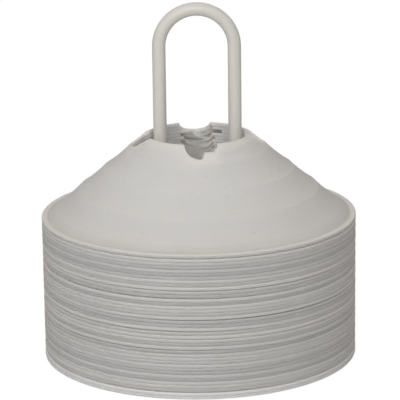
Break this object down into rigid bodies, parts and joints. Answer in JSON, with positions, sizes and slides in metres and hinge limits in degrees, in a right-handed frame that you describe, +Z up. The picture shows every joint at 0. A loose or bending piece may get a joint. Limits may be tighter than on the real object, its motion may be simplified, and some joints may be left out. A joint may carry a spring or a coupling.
{
  "type": "stack of disc marker cones on a carrier",
  "caption": "Nested stack of low saucer-shaped sports marker discs with notched centre holes, threaded over an upright arched carry handle on a small hidden base; each disc lifts off.",
  "frame": {"origin": "centre of the footprint on the floor", "axes": "+Z up along the handle legs, X across the two legs, -Y towards the viewer of the picture"},
  "size_m": [0.19, 0.19, 0.215],
  "materials": {
    "disc_plastic": "soft white moulded polyethylene, matt with a faint sheen",
    "coated_tube": "white coated steel tube, satin",
    "base_plastic": "white moulded plastic",
    "plug_plastic": "dark moulded plastic",
    "zinc_screw": "zinc-plated steel"
  },
  "bodies": {
    "carrier": {"carry_handle": "coated_tube", "carrier_base": "base_plastic", "leg_plugs": "plug_plastic", "base_screws": "zinc_screw"},
    "disc_01": {"disc_01": "disc_plastic"},
    "disc_02": {"disc_02": "disc_plastic"},
    "disc_03": {"disc_03": "disc_plastic"},
    "disc_04": {"disc_04": "disc_plastic"},
    "disc_05": {"disc_05": "disc_plastic"},
    "disc_06": {"disc_06": "disc_plastic"},
    "disc_07": {"disc_07": "disc_plastic"},
    "disc_08": {"disc_08": "disc_plastic"},
    "disc_09": {"disc_09": "disc_plastic"},
    "disc_10": {"disc_10": "disc_plastic"},
    "disc_11": {"disc_11": "disc_plastic"},
    "disc_12": {"disc_12": "disc_plastic"},
    "disc_13": {"disc_13": "disc_plastic"},
    "disc_14": {"disc_14": "disc_plastic"},
    "disc_15": {"disc_15": "disc_plastic"},
    "disc_16": {"disc_16": "disc_plastic"},
    "disc_17": {"disc_17": "disc_plastic"},
    "disc_18": {"disc_18": "disc_plastic"},
    "disc_19": {"disc_19": "disc_plastic"},
    "disc_20": {"disc_20": "disc_plastic"},
    "disc_21": {"disc_21": "disc_plastic"},
    "disc_22": {"disc_22": "disc_plastic"},
    "disc_23": {"disc_23": "disc_plastic"},
    "disc_24": {"disc_24": "disc_plastic"},
    "disc_25": {"disc_25": "disc_plastic"},
    "disc_26": {"disc_26": "disc_plastic"},
    "disc_27": {"disc_27": "disc_plastic"},
    "disc_28": {"disc_28": "disc_plastic"},
    "disc_29": {"disc_29": "disc_plastic"},
    "disc_30": {"disc_30": "disc_plastic"},
    "disc_31": {"disc_31": "disc_plastic"},
    "disc_32": {"disc_32": "disc_plastic"},
    "disc_33": {"disc_33": "disc_plastic"},
    "disc_34": {"disc_34": "disc_plastic"},
    "disc_35": {"disc_35": "disc_plastic"},
    "disc_36": {"disc_36": "disc_plastic"},
    "disc_37": {"disc_37": "disc_plastic"},
    "disc_38": {"disc_38": "disc_plastic"},
    "disc_39": {"disc_39": "disc_plastic"},
    "disc_40": {"disc_40": "disc_plastic"}
  },
  "joints": [
    {"name": "disc_01_lift", "type": "slide", "parent": "carrier", "child": "disc_01", "axis": [0, 0, 1], "range_m": [0, 0.171]},
    {"name": "disc_02_lift", "type": "slide", "parent": "disc_01", "child": "disc_02", "axis": [0, 0, 1], "range_m": [0, 0.171]},
    {"name": "disc_03_lift", "type": "slide", "parent": "disc_02", "child": "disc_03", "axis": [0, 0, 1], "range_m": [0, 0.171]},
    {"name": "disc_04_lift", "type": "slide", "parent": "disc_03", "child": "disc_04", "axis": [0, 0, 1], "range_m": [0, 0.171]},
    {"name": "disc_05_lift", "type": "slide", "parent": "disc_04", "child": "disc_05", "axis": [0, 0, 1], "range_m": [0, 0.171]},
    {"name": "disc_06_lift", "type": "slide", "parent": "disc_05", "child": "disc_06", "axis": [0, 0, 1], "range_m": [0, 0.171]},
    {"name": "disc_07_lift", "type": "slide", "parent": "disc_06", "child": "disc_07", "axis": [0, 0, 1], "range_m": [0, 0.171]},
    {"name": "disc_08_lift", "type": "slide", "parent": "disc_07", "child": "disc_08", "axis": [0, 0, 1], "range_m": [0, 0.171]},
    {"name": "disc_09_lift", "type": "slide", "parent": "disc_08", "child": "disc_09", "axis": [0, 0, 1], "range_m": [0, 0.171]},
    {"name": "disc_10_lift", "type": "slide", "parent": "disc_09", "child": "disc_10", "axis": [0, 0, 1], "range_m": [0, 0.171]},
    {"name": "disc_11_lift", "type": "slide", "parent": "disc_10", "child": "disc_11", "axis": [0, 0, 1], "range_m": [0, 0.171]},
    {"name": "disc_12_lift", "type": "slide", "parent": "disc_11", "child": "disc_12", "axis": [0, 0, 1], "range_m": [0, 0.171]},
    {"name": "disc_13_lift", "type": "slide", "parent": "disc_12", "child": "disc_13", "axis": [0, 0, 1], "range_m": [0, 0.171]},
    {"name": "disc_14_lift", "type": "slide", "parent": "disc_13", "child": "disc_14", "axis": [0, 0, 1], "range_m": [0, 0.171]},
    {"name": "disc_15_lift", "type": "slide", "parent": "disc_14", "child": "disc_15", "axis": [0, 0, 1], "range_m": [0, 0.171]},
    {"name": "disc_16_lift", "type": "slide", "parent": "disc_15", "child": "disc_16", "axis": [0, 0, 1], "range_m": [0, 0.171]},
    {"name": "disc_17_lift", "type": "slide", "parent": "disc_16", "child": "disc_17", "axis": [0, 0, 1], "range_m": [0, 0.171]},
    {"name": "disc_18_lift", "type": "slide", "parent": "disc_17", "child": "disc_18", "axis": [0, 0, 1], "range_m": [0, 0.171]},
    {"name": "disc_19_lift", "type": "slide", "parent": "disc_18", "child": "disc_19", "axis": [0, 0, 1], "range_m": [0, 0.171]},
    {"name": "disc_20_lift", "type": "slide", "parent": "disc_19", "child": "disc_20", "axis": [0, 0, 1], "range_m": [0, 0.171]},
    {"name": "disc_21_lift", "type": "slide", "parent": "disc_20", "child": "disc_21", "axis": [0, 0, 1], "range_m": [0, 0.171]},
    {"name": "disc_22_lift", "type": "slide", "parent": "disc_21", "child": "disc_22", "axis": [0, 0, 1], "range_m": [0, 0.171]},
    {"name": "disc_23_lift", "type": "slide", "parent": "disc_22", "child": "disc_23", "axis": [0, 0, 1], "range_m": [0, 0.171]},
    {"name": "disc_24_lift", "type": "slide", "parent": "disc_23", "child": "disc_24", "axis": [0, 0, 1], "range_m": [0, 0.171]},
    {"name": "disc_25_lift", "type": "slide", "parent": "disc_24", "child": "disc_25", "axis": [0, 0, 1], "range_m": [0, 0.171]},
    {"name": "disc_26_lift", "type": "slide", "parent": "disc_25", "child": "disc_26", "axis": [0, 0, 1], "range_m": [0, 0.171]},
    {"name": "disc_27_lift", "type": "slide", "parent": "disc_26", "child": "disc_27", "axis": [0, 0, 1], "range_m": [0, 0.171]},
    {"name": "disc_28_lift", "type": "slide", "parent": "disc_27", "child": "disc_28", "axis": [0, 0, 1], "range_m": [0, 0.171]},
    {"name": "disc_29_lift", "type": "slide", "parent": "disc_28", "child": "disc_29", "axis": [0, 0, 1], "range_m": [0, 0.171]},
    {"name": "disc_30_lift", "type": "slide", "parent": "disc_29", "child": "disc_30", "axis": [0, 0, 1], "range_m": [0, 0.171]},
    {"name": "disc_31_lift", "type": "slide", "parent": "disc_30", "child": "disc_31", "axis": [0, 0, 1], "range_m": [0, 0.171]},
    {"name": "disc_32_lift", "type": "slide", "parent": "disc_31", "child": "disc_32", "axis": [0, 0, 1], "range_m": [0, 0.171]},
    {"name": "disc_33_lift", "type": "slide", "parent": "disc_32", "child": "disc_33", "axis": [0, 0, 1], "range_m": [0, 0.171]},
    {"name": "disc_34_lift", "type": "slide", "parent": "disc_33", "child": "disc_34", "axis": [0, 0, 1], "range_m": [0, 0.171]},
    {"name": "disc_35_lift", "type": "slide", "parent": "disc_34", "child": "disc_35", "axis": [0, 0, 1], "range_m": [0, 0.171]},
    {"name": "disc_36_lift", "type": "slide", "parent": "disc_35", "child": "disc_36", "axis": [0, 0, 1], "range_m": [0, 0.171]},
    {"name": "disc_37_lift", "type": "slide", "parent": "disc_36", "child": "disc_37", "axis": [0, 0, 1], "range_m": [0, 0.171]},
    {"name": "disc_38_lift", "type": "slide", "parent": "disc_37", "child": "disc_38", "axis": [0, 0, 1], "range_m": [0, 0.171]},
    {"name": "disc_39_lift", "type": "slide", "parent": "disc_38", "child": "disc_39", "axis": [0, 0, 1], "range_m": [0, 0.171]},
    {"name": "disc_40_lift", "type": "slide", "parent": "disc_39", "child": "disc_40", "axis": [0, 0, 1], "range_m": [0, 0.171]}
  ]
}
